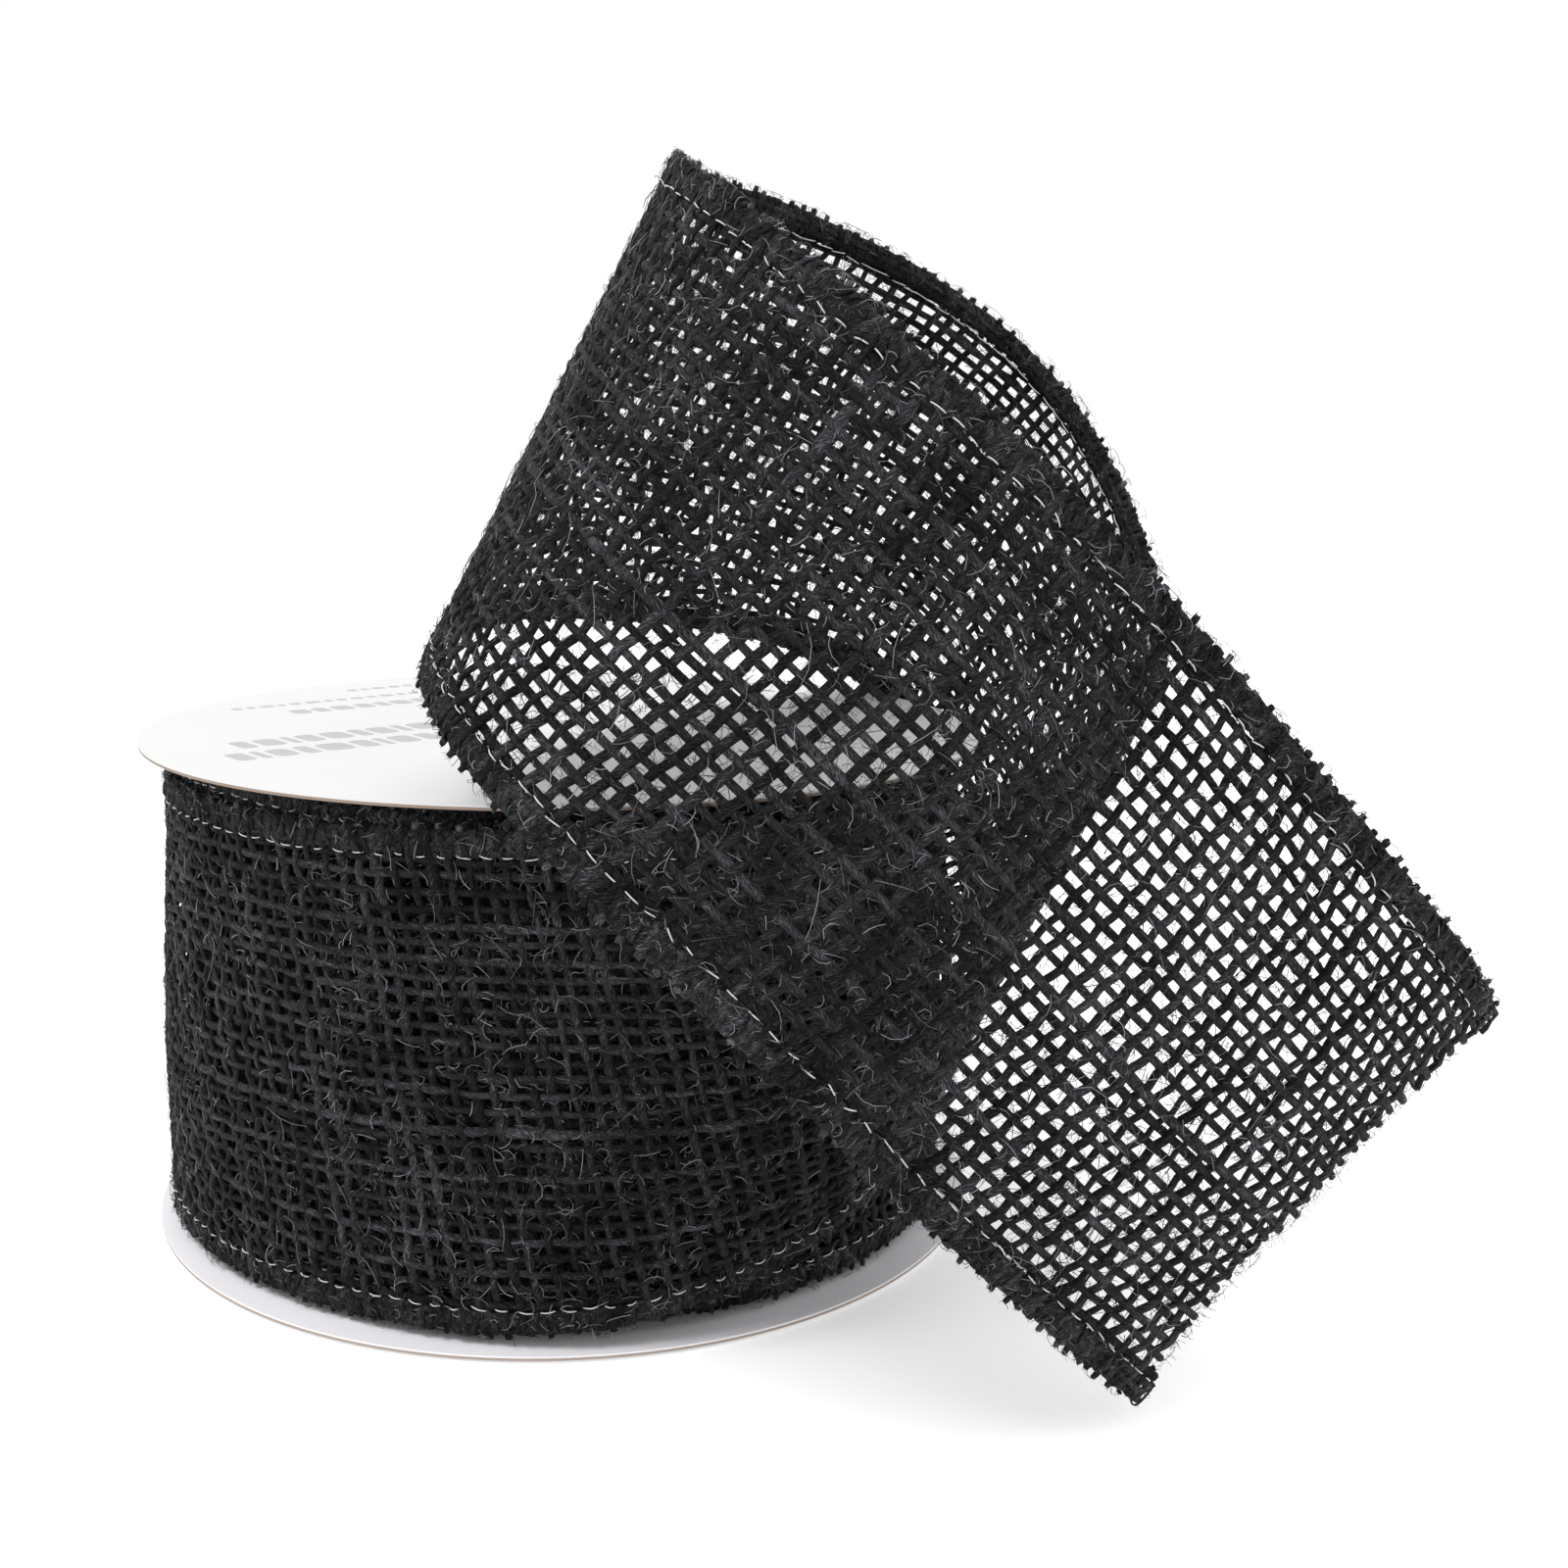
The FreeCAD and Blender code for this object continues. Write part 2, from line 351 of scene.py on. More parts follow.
def yarn_material(name, dark, light, roughness, gloss, streak_depth, own_shade, olive=OLIVE, blue=BLUE):
    """Spun fibre: streaks that wind along each yarn, with a shade of its own for every yarn. For the
    cloth's yarns the light end of the streaks is partly fibre colour and partly painted highlight:
    bright streaks that stand in for glints on the fibres. The depth of the streaks is in millimetres,
    and own_shade is the share of the yarn's own shade."""
    material, nodes, links = new_material(name)
    shader = nodes["Principled BSDF"]
    shader.inputs["Roughness"].default_value = roughness
    shader.inputs["Specular IOR Level"].default_value = gloss

    def math_node(kind, a, b):
        node = nodes.new("ShaderNodeMath")
        node.operation = kind
        for socket, value in ((0, a), (1, b)):
            if value is None:
                continue
            if isinstance(value, (int, float)):
                node.inputs[socket].default_value = value
            else:
                links.new(value, node.inputs[socket])
        return node.outputs[0]

    ring = nodes.new("ShaderNodeAttribute")
    ring.attribute_name = "yarn_ring"
    length = nodes.new("ShaderNodeAttribute")
    length.attribute_name = "yarn_length"
    parts = nodes.new("ShaderNodeSeparateXYZ")
    links.new(ring.outputs["Vector"], parts.inputs[0])
    turn = math_node("MULTIPLY", length.outputs["Fac"], YARN_TWIST)
    cosine = math_node("COSINE", turn, None)
    sine = math_node("SINE", turn, None)
    round_x = math_node(
        "SUBTRACT",
        math_node("MULTIPLY", parts.outputs[0], cosine),
        math_node("MULTIPLY", parts.outputs[1], sine),
    )
    round_y = math_node(
        "ADD",
        math_node("MULTIPLY", parts.outputs[0], sine),
        math_node("MULTIPLY", parts.outputs[1], cosine),
    )
    joined = nodes.new("ShaderNodeCombineXYZ")
    links.new(math_node("MULTIPLY", round_x, STREAK_ACROSS), joined.inputs[0])
    links.new(math_node("MULTIPLY", round_y, STREAK_ACROSS), joined.inputs[1])
    shifted = math_node(
        "ADD",
        math_node("MULTIPLY", length.outputs["Fac"], STREAK_ALONG),
        math_node("MULTIPLY", parts.outputs[2], SEED_SPREAD),
    )
    links.new(shifted, joined.inputs[2])
    streaks = nodes.new("ShaderNodeTexNoise")
    streaks.inputs["Scale"].default_value = 2.4
    streaks.inputs["Detail"].default_value = 5.0
    streaks.inputs["Roughness"].default_value = 0.7
    links.new(joined.outputs[0], streaks.inputs["Vector"])
    patches = nodes.new("ShaderNodeTexNoise")
    patches.inputs["Scale"].default_value = 140.0
    patches.inputs["Detail"].default_value = 3.0
    coordinates = nodes.new("ShaderNodeTexCoord")
    links.new(coordinates.outputs["Object"], patches.inputs["Vector"])
    ramp = nodes.new("ShaderNodeValToRGB")
    ramp.color_ramp.elements[0].position = DARK_STOP
    ramp.color_ramp.elements[0].color = (*dark, 1)
    # The light stop is partly painted highlight on the cloth's yarns: bright streaks in place of fibre
    # glints.
    ramp.color_ramp.elements[1].position = LIGHT_AND_GLINT_STOP
    ramp.color_ramp.elements[1].color = (*light, 1)
    middle = ramp.color_ramp.elements.new(MIDDLE_STOP)
    middle.color = (*(0.6 * a + 0.15 * b for a, b in zip(dark, light)), 1)
    mixed = math_node(
        "ADD",
        math_node("MULTIPLY", streaks.outputs["Fac"], 1 - PATCH_SHARE - own_shade),
        math_node(
            "ADD",
            math_node("MULTIPLY", patches.outputs["Fac"], PATCH_SHARE),
            math_node("MULTIPLY", parts.outputs[2], own_shade),
        ),
    )
    links.new(mixed, ramp.inputs["Fac"])
    tints = nodes.new("ShaderNodeValToRGB")
    tints.color_ramp.elements[0].color = (*olive, 1)
    tints.color_ramp.elements[1].color = (*blue, 1)
    links.new(parts.outputs[2], tints.inputs["Fac"])
    tinted = nodes.new("ShaderNodeMix")
    tinted.data_type = "RGBA"
    tinted.blend_type = "MULTIPLY"
    tinted.inputs[0].default_value = 1.0
    links.new(ramp.outputs["Color"], tinted.inputs[6])
    links.new(tints.outputs["Color"], tinted.inputs[7])
    links.new(tinted.outputs[2], shader.inputs["Base Color"])
    bump = nodes.new("ShaderNodeBump")
    bump.inputs["Strength"].default_value = 1.0
    bump.inputs["Distance"].default_value = streak_depth * MM
    links.new(streaks.outputs["Fac"], bump.inputs["Height"])
    links.new(bump.outputs["Normal"], shader.inputs["Normal"])
    return material


# The light colours of the burlap, tuft and fibre yarns are partly painted highlight: their brightest
# streaks stand in for glints on the fibres.
BURLAP = yarn_material(
    "burlap_yarn", (0.0010, 0.0010, 0.0011), (0.225, 0.226, 0.231),
    roughness=0.6, gloss=0.08, streak_depth=0.34, own_shade=0.08,
)
FLUFF = yarn_material(
    "burlap_fluff", (0.004, 0.004, 0.004), (0.20, 0.201, 0.203),
    roughness=0.7, gloss=0.12, streak_depth=0.16, own_shade=0.20,
)
FIBRE = yarn_material(
    "burlap_fibre", (0.003, 0.003, 0.003), (0.27, 0.27, 0.273),
    roughness=0.45, gloss=0.2, streak_depth=0.01, own_shade=0.42,
)
THREAD = yarn_material(
    "stitching_thread", (0.55, 0.55, 0.55), (0.92, 0.92, 0.91),
    roughness=0.4, gloss=0.3, streak_depth=0.02, own_shade=0.08, olive=(1, 1, 1), blue=(1, 1, 1),
)
WIRE = yarn_material(
    "hem_wire_steel", (0.30, 0.30, 0.31), (0.50, 0.50, 0.52),
    roughness=0.35, gloss=0.5, streak_depth=0.004, own_shade=0.08,
)
WIRE.node_tree.nodes["Principled BSDF"].inputs["Metallic"].default_value = 1.0


def card_material(name, colour, speck, edge_colour, rim_radius):
    """Coated card with faint mottling. Past the rim's radius the lower part of the board shows brown."""
    material, nodes, links = new_material(name)
    shader = nodes["Principled BSDF"]
    shader.inputs["Roughness"].default_value = 0.55
    shader.inputs["Specular IOR Level"].default_value = 0.35
    coordinates = nodes.new("ShaderNodeTexCoord")
    grain = nodes.new("ShaderNodeTexNoise")
    grain.inputs["Scale"].default_value = 900.0
    grain.inputs["Detail"].default_value = 4.0
    links.new(coordinates.outputs["Object"], grain.inputs["Vector"])
    clouds = nodes.new("ShaderNodeTexNoise")
    clouds.inputs["Scale"].default_value = 55.0
    clouds.inputs["Detail"].default_value = 2.0
    links.new(coordinates.outputs["Object"], clouds.inputs["Vector"])
    tone = nodes.new("ShaderNodeMix")
    tone.data_type = "RGBA"
    tone.inputs[6].default_value = (*colour, 1)
    tone.inputs[7].default_value = (*speck, 1)
    links.new(clouds.outputs["Fac"], tone.inputs[0])
    parts = nodes.new("ShaderNodeSeparateXYZ")
    links.new(coordinates.outputs["Object"], parts.inputs[0])
    flat = nodes.new("ShaderNodeCombineXYZ")
    links.new(parts.outputs[0], flat.inputs[0])
    links.new(parts.outputs[1], flat.inputs[1])
    reach = nodes.new("ShaderNodeVectorMath")
    reach.operation = "LENGTH"
    links.new(flat.outputs[0], reach.inputs[0])
    rim = nodes.new("ShaderNodeMath")
    rim.operation = "GREATER_THAN"
    rim.inputs[1].default_value = (rim_radius - 0.06) * MM
    links.new(reach.outputs["Value"], rim.inputs[0])
    heights = nodes.new("ShaderNodeSeparateXYZ")
    links.new(coordinates.outputs["Generated"], heights.inputs[0])
    layer = nodes.new("ShaderNodeMath")
    layer.operation = "LESS_THAN"
    layer.inputs[1].default_value = 0.62
    links.new(heights.outputs[2], layer.inputs[0])
    board = nodes.new("ShaderNodeMath")
    board.operation = "MULTIPLY"
    links.new(rim.outputs[0], board.inputs[0])
    links.new(layer.outputs[0], board.inputs[1])
    edged = nodes.new("ShaderNodeMix")
    edged.data_type = "RGBA"
    edged.inputs[7].default_value = (*edge_colour, 1)
    links.new(board.outputs[0], edged.inputs[0])
    links.new(tone.outputs[2], edged.inputs[6])
    links.new(edged.outputs[2], shader.inputs["Base Color"])
    bump = nodes.new("ShaderNodeBump")
    bump.inputs["Strength"].default_value = 0.25
    bump.inputs["Distance"].default_value = 0.03 * MM
    links.new(grain.outputs["Fac"], bump.inputs["Height"])
    links.new(bump.outputs["Normal"], shader.inputs["Normal"])
    return material


# The core tube shows no cut board, so the rim is put where the tube never reaches.
BEYOND_THE_TUBE = 500.0
UPPER_CARD = card_material(
    "upper_flange_card", (0.60, 0.60, 0.596), (0.575, 0.575, 0.573), (0.24, 0.18, 0.14), FLANGE_RADIUS
)
LOWER_CARD = card_material(
    "lower_flange_card", (0.80, 0.785, 0.81), (0.76, 0.745, 0.775), (0.34, 0.28, 0.24), FLANGE_RADIUS
)
CORE_CARD = card_material(
    "core_card", (0.36, 0.27, 0.18), (0.30, 0.22, 0.14), (0.36, 0.27, 0.18), BEYOND_THE_TUBE
)
for node, material in (
    ("upper_flange", UPPER_CARD),
    ("lower_flange", LOWER_CARD),
    ("core_tube", CORE_CARD),
    ("lower_hem_wire_coiled", WIRE),
    ("upper_hem_wire_coiled", WIRE),
):
    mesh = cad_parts[node].data
    mesh.materials.clear()
    mesh.materials.append(material)

# ---------------------------------------------------------------- woven ribbon
# Warps run along the ribbon and wefts across it. A yarn is a flattened tube: YARN_WIDE is half
# its width and YARN_HIGH half its height.
WARP_PITCH = 2.05
WEFT_PITCH = 2.54
HEM = 3.3
YARN_WIDE = 0.51
YARN_HIGH = 0.34
WEFT_SWELL = 1.13
CRIMP = 0.27
SECOND_TURN_END = -OUTER_TURN_SWEEP * TAKE_OFF_RADIUS
INNER_TURN_LENGTH = 352.0
WEAVE_START = SECOND_TURN_END - INNER_TURN_LENGTH
FIRST_WEFT = int(math.ceil(WEAVE_START / WEFT_PITCH))
LAST_WEFT = int(math.floor((TAIL_LENGTH + 3.0) / WEFT_PITCH))
WEB_WARPS = 28
THICK_WARP, THICK_SIZE, THICK_SHIFT = 11, 1.3, 0.35
HEM_CLEARANCE = 0.6
HEM_WEFT_DEPTH = -0.22
WIRE_INSET, WIRE_RADIUS = 1.0, 0.2
THREAD_RADIUS = 0.085
STITCH_OUTER, STITCH_INNER = -0.36, 0.66
TUFT_INSET = 0.25
HEM_MIDDLE = 0.15
PIECES = ["inner_turn", "outer_turn", "rising", "curl", "falling"]
RUNS = {name: Tubes() for name in PIECES}
HEMS = {name: Tubes() for name in PIECES}
FLUFFS = {name: Tubes() for name in PIECES}
FIBRES = {name: Tubes() for name in PIECES}
OUTER_LINT = {name: Tubes() for name in PIECES}
INNER_LINT = {name: Tubes() for name in PIECES}
THREADS = {name: Tubes() for name in PIECES}
WIRES = {name: Tubes() for name in PIECES}


def piece_index(along, places):
    index = np.full(len(places), 1)
    index[along < SECOND_TURN_END] = 0
    index[along >= 0] = 2
    index[places > CURL_START] = 3
    index[places > CURL_END] = 4
    return index


def lay(target, along, across, depth, wide, high, sides=6, core=None):
    """Lays one tube on the cloth, cut where it crosses from one piece to the next. A tube that goes
    round something keeps its flat side to it: core is then the across and depth of the middle."""
    points, normals, places = cloth(along, across, depth)
    if core is not None:
        normals = points - cloth(along, *core)[0]
        normals = normals / np.linalg.norm(normals, axis=-1, keepdims=True)
    along = np.broadcast_to(np.asarray(along, float), places.shape)
    index = piece_index(along, places)
    wide = np.broadcast_to(wide, places.shape)
    high = np.broadcast_to(high, places.shape)
    seed = rng.random()
    lengths = edge_lengths(points)
    breaks = [0] + list(np.flatnonzero(np.diff(index)) + 1) + [len(index)]
    for first, last in zip(breaks[:-1], breaks[1:]):
        stop = min(last + 1, len(index))
        name = PIECES[index[first]]
        target[name].add(
            points[first:stop], normals[first:stop], wide[first:stop], high[first:stop],
            sides, seed, lengths[first],
        )


def wander(values, amount, spans, phases):
    """Slow irregular drift: a few sine waves of unrelated length."""
    total = np.zeros_like(values)
    for span, phase in zip(spans, phases):
        total += np.sin(values * 2 * math.pi / span + phase)
    return amount * total / len(spans)


def slubs(values, chance, low, high):
    """Thick places spun into a yarn, each a few millimetres long."""
    swell = np.zeros_like(values)
    reach = values[-1] - values[0]
    for _ in range(rng.poisson(chance * reach / 100)):
        centre = values[0] + rng.random() * reach
        swell += rng.uniform(low, high) * np.exp(-(((values - centre) / rng.uniform(1.2, 3.0)) ** 2))
    return 1 + swell


# The cut end's ragged line: shares of the width from the lower edge, and how far short it falls.
CUT_SHARES = (0.0, 0.06, 0.20, 0.35, 0.50, 0.65, 0.80, 0.94, 1.0)
CUT_INSETS = (0.3, 1.2, 3.4, 4.0, 2.6, 3.2, 2.4, 1.0, 0.6)


def cut_line(across):
    """Where the scissors cut the end, unevenly: each warp stops short of the full length."""
    return TAIL_LENGTH - np.interp(across / RIBBON_WIDTH, CUT_SHARES, CUT_INSETS)


web_start = HEM + 0.5 * (RIBBON_WIDTH - 2 * HEM - (WEB_WARPS - 1) * WARP_PITCH)
SHIFTS = rng.uniform(0, 2 * math.pi, (WEB_WARPS + 8, 4))
weft_drift = rng.normal(0, 0.16, LAST_WEFT - FIRST_WEFT + 1)
weft_size = np.clip(rng.normal(1.0, 0.13, LAST_WEFT - FIRST_WEFT + 1), 0.72, 1.35)


def warp_across(number, along):
    """Across position of a web warp, with its drift. A wider gap follows the thick one."""
    shift = THICK_SHIFT if number > THICK_WARP else -THICK_SHIFT if number == THICK_WARP else 0.0
    base = web_start + number * WARP_PITCH + shift
    base = np.clip(base, HEM + HEM_CLEARANCE, RIBBON_WIDTH - HEM - HEM_CLEARANCE)
    return base + wander(along, 0.30, (37.0, 83.0, 17.3), SHIFTS[number, :3])


def lay_warps():
    for number in range(WEB_WARPS):
        stop = cut_line(warp_across(number, np.array([TAIL_LENGTH]))[0]) + rng.uniform(-0.2, 0.9)
        along = np.arange(WEAVE_START, stop, WEFT_PITCH / 4)
        phase = (along / WEFT_PITCH + number) * math.pi
        size = THICK_SIZE if number == THICK_WARP else rng.uniform(0.86, 1.12)
        size = size * slubs(along, 0.7, 0.15, 0.55)
        size = size * (1 + 0.07 * np.sin(along / 1.9 + number))
        lay(RUNS, along, warp_across(number, along), -CRIMP * np.cos(phase) * 0.9,
            YARN_WIDE * size, YARN_HIGH * size)


def weft_lean(centre, across):
    """The wefts aren't square to the hems: they lean on the roll and bow forward along the tail."""
    skew = np.interp(centre, (-400, 0, 50, 160, 260), (-0.21, -0.16, -0.23, -0.08, 0.0))
    bow = np.interp(centre, (60, 220), (0.0, 3.2))
    offset = across - RIBBON_WIDTH / 2
    return skew * offset + bow * (0.5 - (offset / (RIBBON_WIDTH / 2)) ** 2)


def lay_wefts():
    for row, number in enumerate(range(FIRST_WEFT, LAST_WEFT + 1)):
        centre = number * WEFT_PITCH
        across = np.arange(0.3, RIBBON_WIDTH - 0.29, WARP_PITCH / 4)
        along = centre + weft_drift[row] + wander(across, 0.24, (23.0, 41.0, 11.0), rng.uniform(0, 6, 3))
        along += weft_lean(centre, across)
        order = (across - web_start) / WARP_PITCH
        depth = CRIMP * np.cos((order + number) * math.pi) * 0.9
        inside = (across > HEM) & (across < RIBBON_WIDTH - HEM)
        depth = np.where(inside, depth, HEM_WEFT_DEPTH)
        size = weft_size[row] * slubs(across, 1.6, 0.12, 0.5)
        keep = (along < cut_line(across) - 0.2) & (along > WEAVE_START)
        edges = np.flatnonzero(np.diff(keep.astype(int))) + 1
        for span in np.split(np.arange(len(across)), edges):
            if keep[span[0]] and len(span) > 2:
                lay(RUNS, along[span], across[span], depth[span],
                    WEFT_SWELL * YARN_WIDE * size[span], YARN_HIGH * size[span])


lay_warps()
lay_wefts()


# ---------------------------------------------------------------- folded hems
def edge_to_cloth(side, inset):
    """Distance in from one of the two edges as an across coordinate."""
    return inset if side == 0 else RIBBON_WIDTH - inset


def lay_hem_yarns(side):
    """The lengthwise yarns of both layers of the fold."""
    for inset, depth in ((0.75, -0.05), (1.75, -0.1), (2.75, -0.05), (1.2, 0.62), (2.35, 0.66)):
        along = np.arange(WEAVE_START, cut_line(edge_to_cloth(side, inset)) + 0.4, WEFT_PITCH / 3)
        across = edge_to_cloth(side, inset + wander(along, 0.15, (31.0, 9.1), rng.uniform(0, 6, 2)))
        waved = depth + 0.12 * np.cos(along / WEFT_PITCH * math.pi + inset * 3)
        lay(HEMS, along, across, waved, YARN_WIDE * 0.95, YARN_HIGH)


def lay_hem_core(side):
    """The padded middle of the fold, thinner towards the cut end."""
    along = np.arange(WEAVE_START, cut_line(edge_to_cloth(side, 1.6)) - 1.0, 0.8)
    bulge = 1 + 0.05 * wander(along, 1.0, (7.1, 3.3), rng.uniform(0, 6, 2))
    flat_end = np.clip((TAIL_LENGTH - along) / 14, 0.45, 1)
    inset = 1.62 + wander(along, 0.12, (19.0, 6.3), rng.uniform(0, 6, 2))
    lay(HEMS, along, edge_to_cloth(side, inset), HEM_MIDDLE,
        1.55 * bulge * flat_end, 0.48 * bulge * flat_end, sides=10)


def lay_hem_wraps(side):
    """The wefts' ends, folded round the edge from the outer face to the inner one."""
    place = WEAVE_START
    while place < TAIL_LENGTH - 0.6:
        place += rng.uniform(0.9, 1.9)
        turn = np.linspace(-math.pi / 2, math.pi / 2, 5)
        reach = rng.uniform(-0.35, 0.15)
        round_edge = 0.45 - reach - 0.4 * np.cos(turn)
        through = HEM_MIDDLE + 0.46 * np.sin(turn)
        inset = np.concatenate([[3.45, 2.6, 1.7, 0.9], round_edge, [0.9, 1.7, 2.6, 3.2]])
        depth = np.concatenate([[-0.12, -0.30, -0.36, -0.36], through, [0.62, 0.66, 0.62, 0.5]])
        lean = rng.normal(0, 0.45)
        along = place + lean * (inset - 1.5) / 2 + 0.3 * np.sin(inset * 1.5 + place)
        size = rng.uniform(0.8, 1.3) * np.clip((TAIL_LENGTH - place) / 10, 0.6, 1)
        lay(HEMS, np.clip(along, WEAVE_START, TAIL_LENGTH), edge_to_cloth(side, inset), depth,
            0.60 * size, 0.20 * size, core=(edge_to_cloth(side, 1.7), HEM_MIDDLE))


for side in (0, 1):
    lay_hem_yarns(side)
    lay_hem_core(side)
    lay_hem_wraps(side)


# ---------------------------------------------------------------- hem wires and stitching
def lay_hem_wire(side):
    along = np.arange(SECOND_TURN_END, cut_line(edge_to_cloth(side, WIRE_INSET)) + 0.2, 1.5)
    lay(WIRES, along, edge_to_cloth(side, WIRE_INSET), HEM_MIDDLE, WIRE_RADIUS, WIRE_RADIUS)


def lay_stitching(side):
    """A row of stitches: short dashes on the outer face and long ones on the inner face."""
    place = WEAVE_START
    while place < TAIL_LENGTH - 4.5:
        step = rng.uniform(2.5, 3.1)
        dash = rng.uniform(1.0, 2.0)
        bow = np.sin(np.linspace(0, math.pi, 6))
        along = place + np.linspace(0, dash, 6)
        inset = HEM + (0.12 if place > SECOND_TURN_END else -1.2) + rng.normal(0, 0.10)
        tilt = rng.normal(0, 0.12) * np.linspace(-1, 1, 6)
        lay(THREADS, along, edge_to_cloth(side, inset + tilt), STITCH_OUTER - 0.34 * bow,
            THREAD_RADIUS, THREAD_RADIUS, sides=5)
        if place > SECOND_TURN_END:
            inner = place + dash * 0.75 + np.linspace(0, step * 0.92, 6)
            lay(THREADS, np.minimum(inner, TAIL_LENGTH - 2.0), edge_to_cloth(side, inset - tilt),
                STITCH_INNER + 0.24 * bow, THREAD_RADIUS, THREAD_RADIUS, sides=5)
        place += step


for side in (0, 1):
    lay_hem_wire(side)
    lay_stitching(side)


# ---------------------------------------------------------------- cut yarn tufts along the hems
def tuft(along, side, inset, depth, length, fibres, outward_lean):
    """A frayed yarn end: a short fat stub that opens into loose fibres."""
    run = np.linspace(0, length, 4)
    bend = rng.normal(0, 0.35)
    lay(FLUFFS, along + bend * run ** 2 / 2, edge_to_cloth(side, inset - run), depth + outward_lean * run,
        np.array([0.42, 0.46, 0.46, 0.40]) * rng.uniform(0.8, 1.25), np.array([0.28, 0.32, 0.30, 0.22]))
    taper = np.linspace(0.055, 0.015, 4)
    for _ in range(fibres):
        run = np.linspace(0, rng.uniform(0.4, 0.9) * length + 0.3, 4)
        spread = rng.normal(0, 0.42)
        rise = rng.normal(outward_lean, 0.35)
        tip = inset - length * 0.45 - run * 0.8
        lay(FIBRES, along + bend * length / 3 + spread * run, edge_to_cloth(side, tip),
            depth + rise * run, taper, taper, sides=3)


for side in (0, 1):
    place = WEAVE_START + 1.0
    while place < TAIL_LENGTH - 1.0:
        length = rng.uniform(0.3, 1.0)
        depth, fibres, lean = rng.uniform(-0.35, 0.4), rng.integers(4, 9), rng.uniform(-0.35, 0.15)
        tuft(place, side, TUFT_INSET, depth, length, fibres, lean)
        place += rng.uniform(1.7, 3.0)

# ---------------------------------------------------------------- frayed cut end
for across in np.arange(1.0, RIBBON_WIDTH - 0.5, 1.0):
    start = float(cut_line(np.array([across]))[0])
    for _ in range(4):
        run = np.linspace(0, rng.uniform(0.6, 1.9), 4)
        lay(FIBRES, start + run, across + rng.normal(0, 0.35) + rng.normal(0, 0.4) * run,
            rng.normal(0, 0.3) * run, 0.03, 0.03, sides=3)


# ---------------------------------------------------------------- loose fibres all over
def loose_fibres(target, face, count, reach, band, span, thick, lift):
    """Single fibres that lie on one face of the cloth and cross its holes, each with its own curve."""
    places = 4
    from_along = rng.uniform(*reach, count)
    from_across = rng.uniform(*band, count)
    length = (0.4 + span * rng.gamma(2.2, 0.5, count))[:, None]
    heading = rng.choice([0.0, math.pi / 2], count) + rng.normal(0, 0.8, count)
    turn = heading[:, None] + rng.normal(0, 0.6, count)[:, None] * np.arange(places)
    step = length / (places - 1)
    along = from_along[:, None] + np.cumsum(np.cos(turn) * step, axis=1)
    across = from_across[:, None] + np.cumsum(np.sin(turn) * step, axis=1)
    across = np.clip(across, -0.7, RIBBON_WIDTH + 0.7)
    along = np.minimum(along, cut_line(across) + 0.4)
    rise = rng.uniform(*lift, count)[:, None] ** 2
    arch = np.sin(np.linspace(0.1, 1.0, places) * math.pi * rng.uniform(0.4, 1.0, count)[:, None])
    depth = -face * (rng.uniform(-0.1, 0.45, count)[:, None] + rise * arch)
    points, normals, where = cloth(along, across, depth)
    width = rng.uniform(*thick, count)[:, None] * np.array([1.0, 1.0, 0.9, 0.5])
    index = piece_index(along[:, 1], where[:, 1])
    for number, name in enumerate(PIECES):
        chosen = index == number
        if chosen.any():
            seeds = rng.random(chosen.sum())
            target[name].add_fibres(points[chosen], normals[chosen], width[chosen], seeds)


ROLL_REACH = (SECOND_TURN_END - 90, 0.0)
TAIL_REACH = (0.0, TAIL_LENGTH - 3.0)
WEB_BAND = (2.5, RIBBON_WIDTH - 2.5)
for target, face, per_mm, reach in (
    (OUTER_LINT, 1, 28.0, ROLL_REACH),
    (OUTER_LINT, 1, 44.0, TAIL_REACH),
    (INNER_LINT, -1, 30.0, TAIL_REACH),
):
    count = int(per_mm * (reach[1] - reach[0]))
    loose_fibres(target, face, count, reach, WEB_BAND, span=1.7, thick=(0.026, 0.060), lift=(0.0, 0.8))
for face, per_mm, reach in ((1, 4.0, ROLL_REACH), (1, 3.5, TAIL_REACH), (-1, 2.5, TAIL_REACH)):
    for side in (0, 1):
        band = sorted((edge_to_cloth(side, -0.2), edge_to_cloth(side, 3.6)))
        count = int(per_mm * (reach[1] - reach[0]))
        loose_fibres(FIBRES, face, count, reach, band, span=1.1, thick=(0.028, 0.060), lift=(0.6, 1.0))

# ---------------------------------------------------------------- build and ride
BODY = {"inner_turn": "card_spool", "outer_turn": "unwinding_ribbon", "rising": "unwinding_ribbon",
        "falling": "ribbon_end"}
NODE = {"outer_turn": "outer_turn", "rising": "rising_ribbon", "falling": "falling_ribbon"}


def attach(obj, name):
    if name == "curl":
        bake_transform(obj)
    else:
        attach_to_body(obj, BODY[name])


built = {}
for name in PIECES:
    weave = RUNS[name].build("weave_" + name, BURLAP)
    hems = HEMS[name].build("hems_" + name, BURLAP)
    fluff = FLUFFS[name].build("tufts_" + name, FLUFF)
    fibres = FIBRES[name].build("fibres_" + name, FIBRE)
    thread = THREADS[name].build("stitching_" + name, THREAD)
    parts = [weave, hems, fluff, fibres, thread]
    lint = [OUTER_LINT[name].build("outer_lint_" + name, FIBRE)]
    if INNER_LINT[name].count:
        lint.append(INNER_LINT[name].build("inner_lint_" + name, FIBRE))
    if WIRES[name].count:
        wire = WIRES[name].build("hem_wires_" + name, WIRE)
        parts.append(wire)
    parts += lint
    for part in parts:
        attach(part, name)
    built[name] = parts

for name, suffix in (("outer_turn", "outer_turn"), ("rising", "rising"), ("falling", "falling")):
    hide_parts(NODE[name])
    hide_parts("lower_hem_stitching_" + suffix, "upper_hem_stitching_" + suffix)
    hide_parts("lower_hem_wire_" + suffix, "upper_hem_wire_" + suffix)


# ---------------------------------------------------------------- inner turns of the roll
BAND_STEP = 2.4
CORE_GAP = 1.2


